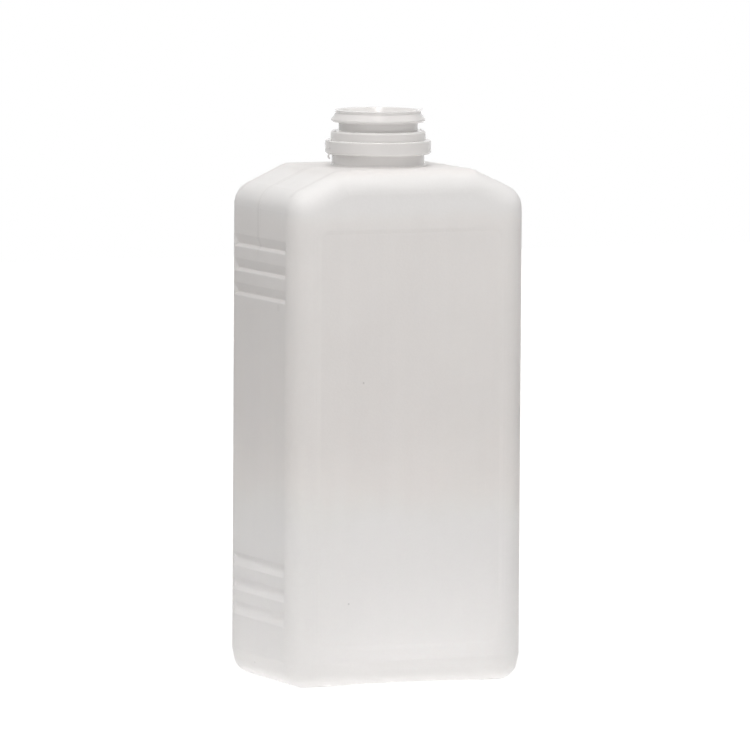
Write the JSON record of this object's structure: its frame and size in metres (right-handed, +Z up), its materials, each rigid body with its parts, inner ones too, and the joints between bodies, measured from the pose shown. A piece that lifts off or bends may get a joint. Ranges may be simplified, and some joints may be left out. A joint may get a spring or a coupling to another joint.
{
  "type": "square bottle",
  "caption": "Tall rectangular blow-moulded bottle with sloped shoulders, a short open snap neck, grip grooves on the narrow sides and a flat label panel on each broad face.",
  "frame": {"origin": "centre of the base, on the plane of its four corner feet", "axes": "+Z up along the neck's axis, +X across the broad faces, +Y through the depth"},
  "size_m": [0.076, 0.052, 0.1704],
  "materials": {
    "natural_plastic": "uncoloured milky translucent polyethylene, satin, with a glossier neck"
  },
  "bodies": {
    "root": {"bottle": "natural_plastic"}
  },
  "joints": []
}
